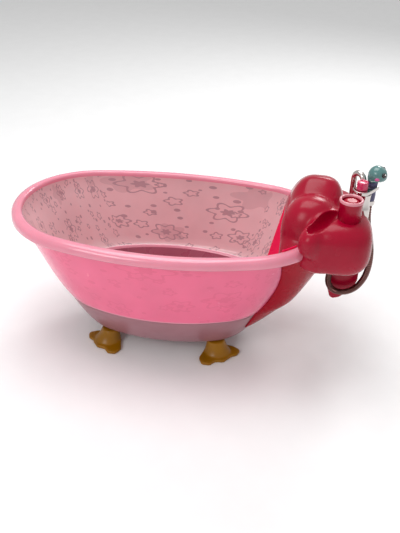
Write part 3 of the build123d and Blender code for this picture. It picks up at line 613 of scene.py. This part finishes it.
# ---- plated fittings and the animal shower head --------------------------------------------------
# Column, plate and spout are bright plated; the shower is a teal plastic animal's head on a dark
# handle.  The cap, the button, the spout and the shower each ride on a body of their own.
chrome = moulded("chrome_plate", tone(214, 206, 203), 0.09, 0, 0.01, 300, 1, 0.03)
teal = moulded("teal_plastic", tone(84, 130, 128), 0.22, 0.5, 0.04, 700, cloud=0.15)
cap_pink = moulded("cap_pink", tone(206, 46, 92), 0.25, 0.3, 0.03, 700)
purple = moulded("purple_plastic", tone(78, 72, 112), 0.3, 0.3, 0.04, 700)
for node, name, material, body, slot in (
        ("tap_column", "column_plated", chrome, "bath", "chrome_trim"),
        ("tap_plate", "plate_plated", chrome, "bath", "chrome_trim"),
        ("tap_cap", "cap_knob", cap_pink, "tap_knob", "hot_pink_plastic"),
        ("push_button", "dome_button", hot_pink, "button", "hot_pink_plastic"),
        ("spout", "spout_plated", chrome, "spout_arm", "chrome_trim"),
        ("shower_head", "animal_head", teal, "shower", "teal_plastic"),
        ("shower_handle", "head_handle", purple, "shower", "purple_plastic")):
    softened(node, name, material, body, 0.0006, 6)

eye_black = moulded("eye_black", tone(14, 16, 18), 0.12, 0.6, 0.01)
cheek_pink = moulded("cheek_pink", tone(214, 84, 150), 0.35, 0.3, 0.03)
glint_highlight_white = moulded("glint_highlight_white", tone(240, 240, 238), 0.25, 0.4, 0.02)


def face_bead(name, place, size, material):
    """A small raised oval on the head."""
    bm = bmesh.new()
    bmesh.ops.create_uvsphere(bm, u_segments=32, v_segments=20, radius=1)
    bmesh.ops.scale(bm, vec=size, verts=bm.verts)
    bmesh.ops.translate(bm, vec=place, verts=bm.verts)
    bead = new_piece(name, bm, material)
    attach(bead, "shower")


HEAD_X, HEAD_Y = TUB_X + 0.2815, -0.019
# each bead's place from the head's middle, along and sideways, its height, its size and its material
# The glint is a painted highlight: a small white bead on each eye.
face_beads = {"eye": (0.0045, 0.0103, 0.2945, (0.0030, 0.0016, 0.0036), eye_black),
              "glint": (0.0058, 0.0117, 0.2962, (0.0009, 0.0005, 0.0010), glint_highlight_white),
              "cheek": (-0.0035, 0.0112, 0.2885, (0.0030, 0.0012, 0.0022), cheek_pink)}
for side, label in ((-1, "near"), (1, "far")):
    for part, (along, sideways, height, size, material) in face_beads.items():
        face_bead(f"{part}_{label}", (HEAD_X + along, HEAD_Y + side * sideways, height), size, material)

# ---- shower hose ----------------------------------------------------------------------------------
# A wound metal hose: it leaves the handle's nut, hangs down the end of the bath, and turns back
# up into the outlet under the console.
HOSE_R = 0.0045
HOSE_ROUTE = [(0.274, -0.018, 0.248), (0.274, -0.018, 0.225), (0.283, -0.019, 0.196),
              (0.288, -0.020, 0.163), (0.284, -0.020, 0.131), (0.269, -0.020, 0.109),
              (0.248, -0.020, 0.104), (0.234, -0.020, 0.116), (0.234, -0.020, 0.138),
              (0.240, -0.020, 0.158)]


def route_curve(name, points, bevel):
    """A smooth open spline through the route's control points."""
    curve = bpy.data.curves.new(name, "CURVE")
    curve.dimensions = "3D"
    curve.resolution_u = 40
    spline = curve.splines.new("NURBS")
    spline.points.add(len(points) - 1)
    for point, (x, y, z) in zip(spline.points, points):
        point.co = (TUB_X + x, y, z, 1)
    spline.order_u = 3
    spline.use_endpoint_u = True
    if bevel:
        curve.bevel_depth = bevel
        curve.bevel_resolution = 5
    holder = bpy.data.objects.new(name, curve)
    scene.collection.objects.link(holder)
    mesh = bpy.data.meshes.new_from_object(holder.evaluated_get(bpy.context.evaluated_depsgraph_get()))
    bpy.data.objects.remove(holder)
    return mesh


hose_line = [v.co.copy() for v in route_curve("hose_line", HOSE_ROUTE, 0).vertices]
hose_mesh = route_curve("hose_skin", HOSE_ROUTE, HOSE_R)
per_ring = len(hose_mesh.vertices) // len(hose_line)
for number, centre in enumerate(hose_line):
    if number % 4 in (2, 3):
        for vert in hose_mesh.vertices[number * per_ring:(number + 1) * per_ring]:
            vert.co = centre + (vert.co - centre) * 0.86
bm = bmesh.new()
bm.from_mesh(hose_mesh)
bmesh.ops.holes_fill(bm, edges=[e for e in bm.edges if e.is_boundary])
bmesh.ops.recalc_face_normals(bm, faces=bm.faces)
bm.to_mesh(hose_mesh)
bm.free()
hose_mesh.materials.clear()
# The hose's dark brownish-pink tint on bright plating is painted reflection of its shaded pink
# surroundings.
hose_mesh.materials.append(moulded("hose_metal_painted_reflection", tone(112, 78, 74), 0.16, 0, 0.02, 400, 1, 0.25))
hose = bpy.data.objects.new("hose", hose_mesh)
scene.collection.objects.link(hose)
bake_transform(hose)
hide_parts("shower_hose")

# ---- small and hidden pieces ------------------------------------------------------------------------
# The pieces that need no new shape keep their own: each takes the finish of its real material,
# by its slot in the record.
slot_finish = {
    "hot_pink_plastic": hot_pink,
    "chrome_trim": chrome,
    "seal_rubber": moulded("seal_rubber", tone(30, 30, 31), 0.7, 0, 0.2, 900),
    "steel": moulded("screw_steel", tone(165, 165, 168), 0.3, 0, 0.05, 900, 1),
    "white_plastic": moulded("white_plastic", tone(226, 224, 220), 0.45, 0.1, 0.05, 900, cloud=0.03),
    "black_plastic": moulded("black_plastic", tone(26, 26, 28), 0.5, 0.1, 0.1, 900),
    "board_green": moulded("board_green", tone(22, 96, 48), 0.35, 0.3, 0.08, 900),
    "cell_wrap": moulded("cell_wrap", tone(60, 64, 78), 0.3, 0.3, 0.03, 900),
    "clear_tube": moulded("clear_tube", tone(206, 208, 206), 0.25, 0.3, 0.03, 900, cloud=0.03),
}
slot_of = {row["node"]: row["material_slot"] for row in frame["record"]["subparts"]}
for node, holder in frame["nodes"].items():
    finish = slot_finish.get(slot_of[node])
    if finish:
        holder.data.materials.clear()
        holder.data.materials.append(finish)
